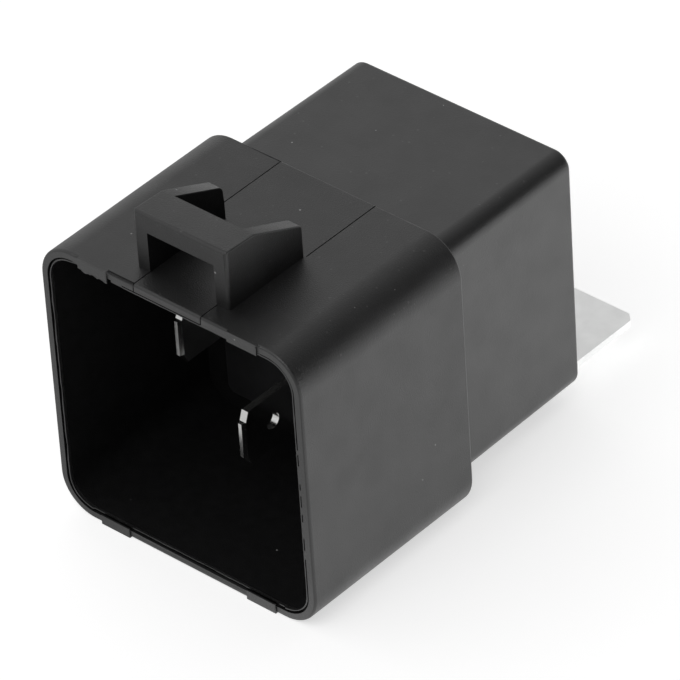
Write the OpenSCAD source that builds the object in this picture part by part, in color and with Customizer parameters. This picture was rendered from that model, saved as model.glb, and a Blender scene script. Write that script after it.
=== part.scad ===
// Sealed four-terminal automotive relay: a plug-in skirt in front, a drafted
// case behind it, a lock loop on top and a steel mounting tab at the back.
// X runs across, Y runs from the mouth to the back and Z is up.

/* [Skirt] */
// outside width of the skirt
skirt_w = 33; // [30:0.1:40]
// outside height of the skirt
skirt_h = 32.4; // [30:0.1:40]
// length of the skirt, mouth to shoulder
skirt_len = 23.3; // [21.5:0.1:30]
// outside corner radius of the skirt
skirt_r = 4.1; // [2.5:0.1:6]
// thickness of the skirt wall
skirt_wall = 1.2; // [0.8:0.05:2]
// depth of the plug recess
recess_depth = 20.5; // [16:0.1:22]
// width of the lead-in step inside the mouth
lead_step_w = 0.35; // [0.1:0.05:0.6]
// depth of the lead-in step inside the mouth
lead_step_d = 0.45; // [0.2:0.05:1]
// rounding of the outer rim edge
rim_round = 0.3; // [0.1:0.05:0.6]
// distance of each rim pad from the middle
pad_x = 9.45; // [7:0.05:11]
// length of each rim pad
pad_len = 3.7; // [2:0.1:5]
// height of each pad above the rim
pad_rise = 0.2; // [0.1:0.05:0.8]

/* [Case] */
// width of the case at the shoulder
case_w = 28; // [26:0.1:30]
// height of the case at the shoulder
case_h = 28.8; // [27:0.1:30]
// length of the case behind the shoulder
case_len = 19.5; // [18.5:0.1:26]
// corner radius of the case
case_r = 2.05; // [1:0.05:4]
// narrowing of each side over the length of the case
case_draft = 0.22; // [0:0.01:0.5]
// rounding of the rear edges
case_edge = 0.5; // [0.2:0.05:1]
// thickness of the side walls of the case
case_wall = 1.1; // [0.8:0.05:1.6]
// thickness of the rear wall
rear_wall = 1.5; // [1:0.1:2.5]

/* [Lock loop] */
// outside width of the loop
loop_w = 11.7; // [9:0.1:15]
// distance of the loop behind the mouth
loop_set_back = 2.4; // [1:0.1:5]
// length of the loop, front to back
loop_len = 10.7; // [8:0.1:14]
// height of the loop above the skirt
loop_h = 6.7; // [5:0.1:9]
// length of the bridge
bridge_len = 4.1; // [2.5:0.1:6]
// fall of the bridge towards the back
bridge_fall = 0.2; // [0:0.05:1]
// height of the side walls at the back
loop_rear_h = 3.6; // [2:0.1:4]
// width of the opening
loop_open_w = 8.4; // [7:0.1:11]
// height of the opening
loop_open_h = 4.6; // [4.2:0.1:6]
// rounding of the loop's edges
loop_edge = 0.35; // [0.1:0.05:0.8]
// rounding of the rear top corners of the loop
loop_rear_r = 0.9; // [0.3:0.1:1.5]
// width of the mould insert line across the rim
insert_front_w = 8.5; // [6:0.1:11]
// width of the mould insert line behind the loop
insert_rear_w = 12; // [10:0.1:15]
// width and depth of the mould insert line
insert_line = 0.12; // [0.05:0.01:0.2]

/* [Terminals] */
// width of a blade
blade_w = 6.3; // [4.8:0.1:6.3]
// thickness of a blade
blade_t = 0.8; // [0.6:0.05:1]
// distance of the blade tips behind the mouth
blade_tip_y = 8.5; // [5:0.1:12]
// height of each corner cut at the tip of a blade
blade_corner = 1.1; // [0.5:0.1:1.5]
// length of each corner cut
blade_corner_len = 0.4; // [0.2:0.05:1]
// thickness left at the very tip
blade_tip_t = 0.4; // [0.3:0.05:0.6]
// length of the bevelled nose at the tip
blade_bevel = 0.45; // [0.3:0.05:1]
// diameter of the detent hole
detent_d = 1.8; // [1.2:0.1:2]
// distance of the detent hole from the tip
detent_y = 4.2; // [3:0.1:5]
// distance of the lower upright blade (30) below the middle
t30_drop = 5.95; // [5.5:0.05:7]
// distance of the coil blades (85, 86) from the middle
coil_blade_x = 7.5; // [7.4:0.05:9]
// height of the coil blades
coil_blade_z = 3; // [1:0.1:4]
// height of the upper flat blade (87)
t87_z = 11; // [10.6:0.05:11.3]

/* [Base] */
// thickness of the base plate
base_t = 1.6; // [1.2:0.1:1.8]
// thickness of the sealing compound
seal_t = 0.6; // [0.3:0.1:0.8]
// clearance of the base plate in the case
base_fit = 0.05; // [0.02:0.01:0.2]
// clearance of a blade in its slot
slot_fit = 0.03; // [0.01:0.01:0.1]

/* [Magnet] */
// distance of the coil axis below the middle
coil_drop = 1.6; // [1.3:0.05:2]
// radius of the core
core_r = 3.6; // [2.5:0.1:4]
// radius of the pole face
pole_r = 5.2; // [4.5:0.1:6]
// thickness of the pole face
pole_t = 1.2; // [0.8:0.1:1.6]
// radius of the core's riveted neck
neck_r = 2.4; // [1.8:0.1:2.8]
// radius of the bobbin flanges
flange_r = 8.4; // [8:0.05:8.5]
// thickness of a bobbin flange
flange_t = 1; // [0.6:0.1:1.4]
// wall of the bobbin tube
bobbin_wall = 0.75; // [0.5:0.05:1]
// length of the bobbin
bobbin_len = 10.4; // [9.5:0.1:11]
// radius of the winding
winding_r = 8; // [6.5:0.1:8]
// clearance between the core and the bobbin
core_fit = 0.05; // [0.02:0.01:0.15]
// gap between the winding and each flange
winding_fit = 0.05; // [0.02:0.01:0.2]
// depth of the riveted neck's end below the yoke's front face
neck_sink = 0.05; // [0.02:0.01:0.3]
// width of the yoke
yoke_w = 13; // [11:0.1:14]
// thickness of the yoke
yoke_t = 1.7; // [1.2:0.1:2]
// gap between the flanges and the yoke
yoke_gap = 0.2; // [0.1:0.05:0.4]
// inside bend radius of the yoke
yoke_bend_r = 0.4; // [0.2:0.1:1]
// height of the yoke's leg above the coil axis
yoke_rise = 5.5; // [4:0.1:6]
// width of terminal 30's tongue in the yoke
tongue_w = 3; // [2:0.1:3.5]
// width of each yoke horn
horn_w = 1.5; // [1:0.1:2]
// length of each yoke horn
horn_len = 1.3; // [0.8:0.1:1.5]

/* [Armature and contacts] */
// angle of the armature when it is released, in degrees
arm_open = 3; // [2:0.1:3.5]
// thickness of the armature
arm_t = 1.5; // [1:0.1:1.8]
// distance from the pivot edge to the armature's free end
arm_len = 18.4; // [17:0.1:19]
// corner radius of the armature
arm_corner = 1; // [0.3:0.1:2]
// clearance of the armature's heel in the spring's bend
heel_fit = 0.05; // [0.02:0.01:0.2]
// air gap that stays when the armature is closed
arm_gap = 0.05; // [0.03:0.01:0.1]
// clearance of the armature round the horns
horn_fit = 0.2; // [0.1:0.05:0.3]
// thickness of the contact spring
leaf_t = 0.3; // [0.2:0.05:0.4]
// width of the contact spring
leaf_w = 7; // [5:0.1:8]
// outside radius of the spring's bend
leaf_bend_r = 1.6; // [1.2:0.1:2]
// length of the spring's leg on the yoke
leaf_leg = 8; // [6:0.1:10]
// distance of the spring's tip beyond the contacts
leaf_end = 2.4; // [2:0.1:3]
// radius of a contact
contact_r = 1.7; // [1.2:0.1:1.8]
// thickness of a contact
contact_t = 1; // [0.6:0.1:1.3]
// contact gap that stays when the armature is closed
contact_gap = 0.05; // [0.03:0.01:0.1]
// radius of a contact's shank
shank_r = 0.9; // [0.6:0.05:1]
// radius of a contact's riveted tail
tail_r = 1.25; // [1:0.05:1.5]
// thickness of a contact's riveted tail
tail_t = 0.4; // [0.2:0.05:0.5]
// gap between the fixed contact's tail and the flat blade
tail_fit = 0.1; // [0.05:0.05:0.3]
// rim of the landing below the fixed contact
landing_rim = 0.2; // [0.1:0.05:0.5]
// radius of a rivet
rivet_r = 0.8; // [0.5:0.05:1]
// radius of a rivet head
rivet_head_r = 1.4; // [1.1:0.05:1.6]
// thickness of a rivet head
rivet_head_t = 0.45; // [0.3:0.05:0.6]
// distance of each rivet from the middle
rivet_x = 2.1; // [1.7:0.05:2.2]
// distance of the yoke rivets from the pivot edge
yoke_rivet_y = 5; // [3.5:0.1:6]
// distance of the armature rivets from the pivot edge
arm_rivet_z = 8; // [5:0.1:12]
// width of the stop strip
stop_w = 3; // [2:0.1:4]
// distance of the stop strip from the middle
stop_x = 5.4; // [4.5:0.1:6.5]
// depth of the stop finger
stop_t = 1.2; // [0.8:0.1:1.4]
// corner cut of the stop strip
stop_corner = 0.6; // [0.2:0.1:1]
// distance of the stop finger from the contact's tail
stop_side = 0.4; // [0.2:0.1:0.8]
// clearance between the stop and the spring
stop_fit = 0.08; // [0.05:0.01:0.2]

/* [Coil connections] */
// distance of the coil posts from the middle, to their inner face
post_x = 10; // [9.6:0.05:10.4]
// width of a coil post
post_w = 2; // [1.5:0.1:2.8]
// distance of the coil post below the blade's upper edge
post_drop = 0.15; // [0:0.05:0.5]
// length of a coil post above the base plate
post_len = 7.3; // [6:0.1:10]
// radius of the coil lead wire
lead_r = 0.2; // [0.1:0.01:0.3]
// distance of the coil leads above the base plate
lead_y = 5.6; // [4.5:0.1:7]
// diameter of the suppression resistor
resistor_d = 2.4; // [1.8:0.1:2.6]
// length of the suppression resistor
resistor_len = 6.4; // [5:0.1:8]
// edge cut of the resistor's ends
resistor_edge = 0.3; // [0.1:0.05:0.6]
// height of the suppression resistor
resistor_z = 8.9; // [8.7:0.05:9.1]
// distance of the resistor above the base plate
resistor_y = 3.6; // [2.5:0.1:4.2]
// radius of the resistor's wires
wire_r = 0.3; // [0.2:0.01:0.35]
// bend radius of the resistor's wires
wire_bend = 1; // [0.6:0.1:1.5]

/* [Mounting tab] */
// width of the mounting tab
tab_w = 25; // [18:0.1:25.4]
// length of the tab behind the case
tab_len = 10.3; // [9:0.1:20]
// thickness of the tab
tab_t = 0.8; // [0.6:0.1:1.2]
// gap between the tab and the floor of the case
tab_lift = 0.05; // [0:0.01:0.2]
// corner cut of the tab
tab_corner = 0.8; // [0.3:0.1:4]
// diameter of the screw hole
tab_hole_d = 6.4; // [4.3:0.1:6.6]
// distance of the hole from the free edge
tab_hole_y = 5.2; // [4.2:0.1:8]
// width of the tab's inner leg
tab_leg_w = 18; // [10:0.1:20]
// height of the tab's inner leg
tab_leg_h = 7; // [4:0.1:9]

/* [Hidden] */
$fn = 96;

// overrun of cutting shapes, and lap of joined shapes
over = 1;
lap = 0.1;

// stations along Y, from the mouth plane
rear_y = skirt_len + case_len;
cavity_end = rear_y - rear_wall;
seal_end = recess_depth + seal_t;
base_end = seal_end + base_t;
tab_end = rear_y + tab_len;
yoke_leg_end = base_end + yoke_t;
bobbin_end = yoke_leg_end + bobbin_len;
pivot_y = bobbin_end + pole_t;

// heights and widths, from the middle of the skirt
t30_z = -t30_drop;
coil_z = -coil_drop;
cavity_w = case_w - 2*case_wall;
cavity_h = case_h - 2*case_wall;
cavity_r = max(0.3, case_r - case_wall);
yoke_top = coil_z - flange_r - yoke_gap;
pivot_z = yoke_top - yoke_t;
tab_z = -cavity_h/2 + tab_lift;
post_z = coil_blade_z + blade_w/2 - post_w/2 - post_drop;
contact_z = t87_z - blade_t/2 - tail_fit - tail_r;
contact_reach = contact_z - pivot_z;

// layers on the armature, outward from the pivot plane
arm_back = arm_gap + arm_t;
leaf_back = arm_back + leaf_t;
fixed_face = pivot_y + arm_back - contact_t - contact_gap;
landing_back = fixed_face - contact_t;
landing_front = landing_back - blade_t;
landing_bottom = contact_z - contact_r - landing_rim;
leaf_tip = contact_reach + leaf_end;
// the stop finger lies just behind the released spring
stop_face = pivot_y + leaf_back/cos(arm_open) + leaf_tip*sin(arm_open) + stop_fit;

// the object stands on the skirt, with its bounding box centred over the origin
shift = [0, -(tab_end - pad_rise)/2, skirt_h/2];

plastic = [0.13, 0.13, 0.135];
epoxy = [0.09, 0.09, 0.1];
tin = [0.8, 0.8, 0.8];
zinc = [0.76, 0.77, 0.76];
iron = [0.55, 0.55, 0.57];
copper = [0.72, 0.42, 0.22];
bronze = [0.76, 0.58, 0.34];
silver = [0.86, 0.86, 0.84];
lacquer = [0.45, 0.5, 0.55];
nylon = [0.82, 0.79, 0.7];

// ---------- shared shapes ----------

// puts a sub-part from the mouth's axes into the part's own frame
module placed() {
    translate(shift) children();
}

// rectangle with round corners
module round_rect(w, h, r) {
    square([w - 2*r, h], center = true);
    square([w, h - 2*r], center = true);
    for (x = [-1, 1], y = [-1, 1])
        translate([x*(w/2 - r), y*(h/2 - r)]) circle(r);
}

// an outline in X and Z, drawn out along Y
module along_y(y0, y1) {
    translate([0, y1, 0]) rotate([90, 0, 0]) linear_extrude(y1 - y0) children();
}

// an outline in Y and Z, drawn out along X
module along_x(x0, x1) {
    translate([x0, 0, 0]) rotate([90, 0, 90]) linear_extrude(x1 - x0) children();
}

// a profile of radius against Y, turned about the Y axis
module about_y() {
    rotate([-90, 0, 0]) rotate_extrude() children();
}

// a profile of corner radius against Y, carried round a rectangle with round corners
module round_bar(w, h, r, y0, y1) {
    rotate([-90, 0, 0]) for (i = [0:3]) rotate([0, 0, 90*i]) {
        a = i % 2 == 0 ? w : h;
        b = i % 2 == 0 ? h : w;
        translate([a/2 - r, b/2 - r, 0]) {
            rotate_extrude(angle = 90) children();
            rotate([90, 0, 0]) linear_extrude(b - 2*r) children();
        }
    }
    along_y(y0, y1) square([w - 2*r, h - 2*r], center = true);
}

// corner profile with an even draft; front and back are the rounding of its ends
module corner_profile(r, y0, y1, front, back, draft) {
    polygon([[0, y0], [r - front, y0], [r, y0 + front], [r - draft, y1 - back],
             [r - draft - back, y1], [0, y1]]);
    if (front > 0) translate([r - front, y0 + front]) circle(front);
    if (back > 0) translate([r - draft - back, y1 - back]) circle(back);
}

// bent strip: legs a and b of thickness t round a corner at the origin, with inside radius r
module bent_strip(a, b, t, r = 0) {
    difference() {
        square([a, b]);
        translate([t + r, t]) square([a, b]);
        translate([t, t + r]) square([a, b]);
        if (r > 0) translate([t + r, t + r]) circle(r);
        difference() {
            translate([-over, -over]) square(over + t + r);
            translate([t + r, t + r]) circle(t + r);
        }
    }
}

// round wire with one quarter bend, and straight legs a and b before and after it
module bent_wire(a, b, bend, r) {
    rotate_extrude(angle = 90) translate([bend, 0]) circle(r, $fn = 32);
    rotate([90, 0, 0]) linear_extrude(a) translate([bend, 0]) circle(r, $fn = 32);
    rotate([0, -90, 0]) linear_extrude(b) translate([0, bend]) circle(r, $fn = 32);
}

// upright blade with its width in Z: cut corners, a bevelled nose and a detent hole
module blade(root) {
    nose_y = blade_tip_y + blade_bevel;
    nose_h = blade_w/2 - blade_corner;
    difference() {
        intersection() {
            along_x(-blade_t/2, blade_t/2)
                polygon([[root, -blade_w/2], [root, blade_w/2],
                         [nose_y + blade_corner_len, blade_w/2], [nose_y, nose_h],
                         [blade_tip_y, nose_h], [blade_tip_y, -nose_h],
                         [nose_y, -nose_h], [nose_y + blade_corner_len, -blade_w/2]]);
            translate([0, 0, -blade_w/2]) linear_extrude(blade_w)
                polygon([[-blade_t/2, root], [-blade_t/2, nose_y],
                         [-blade_tip_t/2, blade_tip_y], [blade_tip_t/2, blade_tip_y],
                         [blade_t/2, nose_y], [blade_t/2, root]]);
        }
        translate([0, blade_tip_y + detent_y, 0]) rotate([0, 90, 0])
            cylinder(d = detent_d, h = blade_t + 2*over, center = true);
    }
}

// puts a shape from the closed armature's frame to its released place
module released() {
    translate([0, pivot_y, pivot_z]) rotate([-arm_open, 0, 0]) children();
}

// head and shank of a rivet along Y, with Y = 0 under the head; a contact has a tail too
module stud(head_r, head_t, r, through, back_r = 0, back_t = 0) {
    about_y() union() {
        translate([0, -head_t]) square([head_r, head_t]);
        square([r, through]);
        if (back_t > 0) translate([0, through]) square([back_r, back_t]);
    }
}

// ---------- housing ----------

module skirt_body() {
    round_bar(skirt_w, skirt_h, skirt_r, 0, skirt_len)
        corner_profile(skirt_r, 0, skirt_len, rim_round, rim_round, 0);
}

module case_body() {
    round_bar(case_w, case_h, case_r, recess_depth, rear_y)
        corner_profile(case_r, recess_depth, rear_y, 0, case_edge, case_draft);
}

module rim_pads() {
    for (x = [-1, 1], z = [-1, 1])
        translate([x*pad_x - pad_len/2, -pad_rise, z*(skirt_h/2 - skirt_wall/2) - skirt_wall/2])
            cube([pad_len, pad_rise + rim_round, skirt_wall]);
}

// side view of the loop: level bridge, slope and a rounded rear corner
module loop_side() {
    e = loop_edge;
    top = loop_h - bridge_fall;
    slope = atan2(top - loop_rear_h, loop_len - bridge_len);
    // distance from the sharp corner to where its rounding starts
    run = loop_rear_r/tan(45 + slope/2);
    polygon([[0, -over], [0, loop_h - e], [e, loop_h], [bridge_len, top],
             [loop_len - run*cos(slope), loop_rear_h + run*sin(slope)],
             [loop_len, loop_rear_h - run], [loop_len, -over]]);
    translate([e, loop_h - e]) circle(e);
    translate([loop_len - loop_rear_r, loop_rear_h - run]) circle(loop_rear_r);
}

module lock_loop() {
    translate([0, loop_set_back, skirt_h/2]) difference() {
        intersection() {
            along_x(-loop_w/2, loop_w/2) loop_side();
            translate([0, loop_len/2, -skirt_wall/2]) linear_extrude(loop_h + over)
                round_rect(loop_w, loop_len, loop_edge);
        }
        translate([-loop_open_w/2, -over, 0]) cube([loop_open_w, loop_len + 2*over, loop_open_h]);
        translate([-loop_open_w/2, bridge_len, 0]) cube([loop_open_w, loop_len, loop_h + over]);
    }
}

module insert_lines() {
    z = skirt_h/2 - insert_line;
    y1 = loop_set_back + loop_len;
    for (s = [-1, 1]) {
        translate([s*insert_front_w/2 - insert_line/2, -over, z])
            cube([insert_line, over + loop_set_back, over]);
        translate([s*insert_front_w/2 - insert_line/2, -over, skirt_h/2 - skirt_wall - over])
            cube([insert_line, over + insert_line, skirt_wall + 2*over]);
        translate([s*insert_rear_w/2 - insert_line/2, y1, z])
            cube([insert_line, skirt_len - y1 + over, over]);
    }
}

module housing() {
    color(plastic) placed() difference() {
        union() {
            skirt_body();
            case_body();
            lock_loop();
            rim_pads();
        }
        // plug recess, lead-in step and the cavity for the mechanism
        along_y(-over, recess_depth)
            round_rect(skirt_w - 2*skirt_wall, skirt_h - 2*skirt_wall, skirt_r - skirt_wall);
        along_y(0, lead_step_d)
            round_rect(skirt_w - 2*skirt_wall + 2*lead_step_w,
                       skirt_h - 2*skirt_wall + 2*lead_step_w, skirt_r - skirt_wall + lead_step_w);
        along_y(recess_depth - over, cavity_end) round_rect(cavity_w, cavity_h, cavity_r);
        insert_lines();
        // slot for the mounting tab
        translate([-tab_w/2, cavity_end - over, tab_z]) cube([tab_w, rear_wall + 2*over, tab_t]);
    }
}

// ---------- base ----------

module blade_slots(y0, y1, fit) {
    t = blade_t + 2*fit;
    w = blade_w + 2*fit;
    along_y(y0, y1) {
        translate([0, t30_z]) square([t, w], center = true);
        translate([0, t87_z]) square([w, t], center = true);
        for (s = [-1, 1]) translate([s*coil_blade_x, coil_blade_z]) square([t, w], center = true);
    }
}

module base_plate() {
    color(plastic) placed() difference() {
        along_y(seal_end, base_end)
            round_rect(cavity_w - 2*base_fit, cavity_h - 2*base_fit, cavity_r - base_fit);
        blade_slots(seal_end - over, base_end + over, slot_fit);
        // socket for the stop strip
        translate([stop_x - slot_fit, base_end - base_t/2, t87_z - blade_t/2 - slot_fit])
            cube([stop_w + 2*slot_fit, base_t, blade_t + 2*slot_fit]);
    }
}

module sealant() {
    color(epoxy) placed() difference() {
        along_y(recess_depth, seal_end) round_rect(cavity_w, cavity_h, cavity_r);
        blade_slots(recess_depth - over, seal_end + over, 0);
    }
}

// ---------- terminals ----------

module terminal_30() {
    color(tin) placed() translate([0, 0, t30_z]) {
        blade(base_end);
        // narrow tongue staked in the yoke
        translate([-blade_t/2, base_end - lap, -blade_w/2])
            cube([blade_t, yoke_t + lap, tongue_w]);
    }
}

module terminal_87() {
    color(tin) placed() difference() {
        union() {
            translate([0, 0, t87_z]) rotate([0, 90, 0]) blade(landing_front);
            // landing for the fixed contact, turned in towards the coil
            along_x(-blade_w/2, blade_w/2) translate([landing_back, t87_z + blade_t/2])
                rotate(180)
                bent_strip(blade_t + lap, t87_z + blade_t/2 - landing_bottom, blade_t);
        }
        translate([0, 0, contact_z]) along_y(landing_front - over, landing_back + over)
            circle(shank_r);
    }
}

// coil terminal with a post outside the bobbin; side is 1 or -1
module coil_terminal(side) {
    color(tin) placed() mirror([side < 0 ? 1 : 0, 0, 0]) {
        translate([coil_blade_x, 0, coil_blade_z]) blade(base_end + lap);
        // foot and post are one bent strip
        translate([post_x + blade_t, base_end, post_z - post_w/2]) mirror([1, 0, 0])
            linear_extrude(post_w)
            bent_strip(post_x - coil_blade_x + 1.5*blade_t, post_len, blade_t);
    }
}

module terminal_85() { coil_terminal(1); }

module terminal_86() { coil_terminal(-1); }

// ---------- magnet ----------

module bobbin() {
    r0 = core_r + core_fit;
    color(nylon) placed() translate([0, 0, coil_z]) about_y() union() {
        translate([r0, yoke_leg_end]) square([bobbin_wall, bobbin_len]);
        for (y = [yoke_leg_end, bobbin_end - flange_t])
            translate([r0, y]) square([flange_r - r0, flange_t]);
    }
}

module coil_winding() {
    r0 = core_r + core_fit + bobbin_wall;
    color(copper) placed() translate([0, 0, coil_z]) about_y()
        translate([r0, yoke_leg_end + flange_t + winding_fit])
            square([winding_r - r0, bobbin_len - 2*flange_t - 2*winding_fit]);
}

module core() {
    color(iron) placed() translate([0, 0, coil_z]) about_y() union() {
        translate([0, base_end + neck_sink]) square([neck_r, yoke_t - neck_sink + lap]);
        translate([0, yoke_leg_end]) square([core_r, bobbin_len + lap]);
        translate([0, bobbin_end]) square([pole_r, pole_t]);
    }
}

module yoke_profile() {
    translate([base_end, pivot_z])
        bent_strip(pivot_y - base_end, coil_z + yoke_rise - pivot_z, yoke_t, yoke_bend_r);
}

module yoke() {
    color(iron) placed() difference() {
        union() {
            along_x(-yoke_w/2, yoke_w/2) yoke_profile();
            for (s = [-1, 1])
                translate([s*(yoke_w/2 - horn_w/2) - horn_w/2, pivot_y - lap, pivot_z])
                    cube([horn_w, horn_len + lap, yoke_t]);
        }
        translate([0, 0, coil_z]) along_y(base_end - over, yoke_leg_end + over) circle(neck_r);
        // slot for terminal 30
        translate([-blade_t/2, base_end - over, t30_z - blade_w/2])
            cube([blade_t, yoke_t + 2*over, tongue_w]);
        for (s = [-1, 1]) translate([s*rivet_x, pivot_y - yoke_rivet_y, pivot_z - over])
            cylinder(r = rivet_r, h = yoke_t + 2*over);
    }
}

// ---------- armature and contacts ----------

// side view of the armature: a flat strip whose heel is rounded to fit the spring's bend
module armature_profile() {
    r = leaf_bend_r - leaf_t;
    heel_z = r + heel_fit;
    translate([arm_gap, heel_z]) square([arm_t, arm_len - heel_z]);
    intersection() {
        translate([arm_gap, 0]) square([arm_t, heel_z + lap]);
        translate([arm_back - r, heel_z]) circle(r);
    }
}

module armature() {
    color(iron) placed() released() difference() {
        intersection() {
            along_x(-yoke_w/2, yoke_w/2) armature_profile();
            translate([0, 0, arm_len/2]) along_y(-over, arm_back + over)
                round_rect(yoke_w, arm_len, arm_corner);
        }
        for (s = [-1, 1])
            translate([s*(yoke_w/2 + over) - (horn_w + horn_fit + over), -over, -over])
                cube([2*(horn_w + horn_fit + over), arm_back + 2*over,
                      over + yoke_t + horn_fit]);
        for (s = [-1, 1]) translate([s*rivet_x, 0, arm_rivet_z])
            along_y(-over, arm_back + over) circle(rivet_r);
    }
}

// a point of the closed armature's frame in its released place, from the pivot edge
function released_at(y, z) =
    [y*cos(arm_open) + z*sin(arm_open), z*cos(arm_open) - y*sin(arm_open)];

module spring_profile() {
    ri = leaf_bend_r - leaf_t;
    // centre of the bend, touching the leg on the yoke and the leg on the armature
    c = [(leaf_back - leaf_bend_r + ri*sin(arm_open))/cos(arm_open), ri];
    bend = [for (i = [0:12]) -90 + i*(90 - arm_open)/12];
    polygon(concat([[-leaf_leg, -leaf_t]],
                   [for (a = bend) c + leaf_bend_r*[cos(a), sin(a)]],
                   [released_at(leaf_back, leaf_tip), released_at(arm_back, leaf_tip)],
                   [for (i = [12:-1:0]) c + ri*[cos(bend[i]), sin(bend[i])]],
                   [[-leaf_leg, 0]]));
}

module contact_spring() {
    color(bronze) placed() difference() {
        translate([0, pivot_y, pivot_z]) along_x(-leaf_w/2, leaf_w/2) spring_profile();
        for (s = [-1, 1]) translate([s*rivet_x, pivot_y - yoke_rivet_y, pivot_z - leaf_t - over])
            cylinder(r = rivet_r, h = leaf_t + 2*over);
        released() {
            for (s = [-1, 1]) translate([s*rivet_x, 0, arm_rivet_z])
                along_y(arm_back - over, leaf_back + over) circle(rivet_r);
            translate([0, 0, contact_reach])
                along_y(arm_back - over, leaf_back + over) circle(shank_r);
        }
    }
}

module moving_contact() {
    color(silver) placed() released() translate([0, arm_back, contact_reach])
        stud(contact_r, contact_t, shank_r, leaf_t, tail_r, tail_t);
}

module fixed_contact() {
    color(silver) placed() translate([0, landing_back, contact_z]) mirror([0, 1, 0])
        stud(contact_r, contact_t, shank_r, blade_t, tail_r, tail_t);
}

module spring_rivet(side) {
    z = pivot_z - leaf_t;
    color(iron) placed() translate([side*rivet_x, pivot_y - yoke_rivet_y, z]) union() {
        translate([0, 0, -rivet_head_t]) cylinder(r = rivet_head_r, h = rivet_head_t);
        cylinder(r = rivet_r, h = leaf_t + yoke_t);
    }
}

module spring_rivet_left() { spring_rivet(-1); }

module spring_rivet_right() { spring_rivet(1); }

module armature_rivet(side) {
    color(iron) placed() released() translate([side*rivet_x, leaf_back, arm_rivet_z])
        mirror([0, 1, 0]) stud(rivet_head_r, rivet_head_t, rivet_r, leaf_t + arm_t);
}

module armature_rivet_left() { armature_rivet(-1); }

module armature_rivet_right() { armature_rivet(1); }

module stop_plate() {
    y0 = base_end - base_t/2;
    y1 = stop_face + stop_t;
    x0 = tail_r + stop_side;
    x1 = stop_x + stop_w;
    color(tin) placed() translate([0, 0, t87_z - blade_t/2]) linear_extrude(blade_t)
        polygon([[stop_x, y0], [x1, y0], [x1, y1 - stop_corner], [x1 - stop_corner, y1],
                 [x0, y1], [x0, stop_face], [stop_x, stop_face]]);
}

// ---------- coil connections ----------

module resistor_body() {
    r = resistor_d/2;
    h = resistor_len/2;
    e = resistor_edge;
    color(lacquer) placed() translate([0, base_end + resistor_y, resistor_z]) rotate([0, 90, 0])
        rotate_extrude()
            polygon([[0, -h], [r - e, -h], [r, -h + e], [r, h - e], [r - e, h], [0, h]]);
}

// wire from the resistor's end over the coil to the outside of its post
module resistor_lead(side) {
    x0 = resistor_len/2;
    x1 = post_x + blade_t + wire_r;
    b = wire_bend;
    color(tin) placed() mirror([side < 0 ? 1 : 0, 0, 0])
        translate([x1 - b, base_end + resistor_y, resistor_z - b]) rotate([90, 0, 0])
        bent_wire(resistor_z - post_z - b, x1 - b - x0, b, wire_r);
}

module resistor_lead_left() { resistor_lead(-1); }

module resistor_lead_right() { resistor_lead(1); }

// wire from the top of the winding to the inside of its post
module coil_lead(side) {
    z = post_z;
    x0 = sqrt(pow(winding_r + lead_r, 2) - pow(z - coil_z, 2));
    color(copper) placed() mirror([side < 0 ? 1 : 0, 0, 0]) translate([x0, base_end + lead_y, z])
        rotate([0, 90, 0]) cylinder(r = lead_r, h = post_x - x0, $fn = 32);
}

module coil_lead_left() { coil_lead(-1); }

module coil_lead_right() { coil_lead(1); }

// ---------- mounting tab ----------

module mounting_tab() {
    color(zinc) placed() {
        translate([0, 0, tab_z]) linear_extrude(tab_t) difference() {
            c = tab_corner;
            polygon([[-tab_w/2, cavity_end], [tab_w/2, cavity_end], [tab_w/2, tab_end - c],
                     [tab_w/2 - c, tab_end], [-tab_w/2 + c, tab_end], [-tab_w/2, tab_end - c]]);
            translate([0, tab_end - tab_hole_y]) circle(d = tab_hole_d);
        }
        // inner leg, turned up against the rear wall
        along_x(-tab_leg_w/2, tab_leg_w/2) translate([cavity_end - tab_t, tab_z])
            bent_strip(tab_t + lap, tab_leg_h, tab_t);
    }
}

// ---------- assembly ----------

housing();
base_plate();
sealant();
terminal_30();
terminal_87();
terminal_85();
terminal_86();
bobbin();
coil_winding();
core();
yoke();
armature();
contact_spring();
moving_contact();
fixed_contact();
stop_plate();
spring_rivet_left();
spring_rivet_right();
armature_rivet_left();
armature_rivet_right();
resistor_body();
resistor_lead_left();
resistor_lead_right();
coil_lead_left();
coil_lead_right();
mounting_tab();
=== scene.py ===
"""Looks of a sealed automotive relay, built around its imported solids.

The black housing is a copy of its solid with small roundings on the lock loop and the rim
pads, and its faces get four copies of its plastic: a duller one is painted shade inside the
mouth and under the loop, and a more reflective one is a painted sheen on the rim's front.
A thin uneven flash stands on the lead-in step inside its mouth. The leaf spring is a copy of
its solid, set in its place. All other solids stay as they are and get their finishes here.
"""

import math

import bmesh
import bpy
from bpy.props import FloatProperty, FloatVectorProperty
from mathutils import Matrix, Vector, noise


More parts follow.
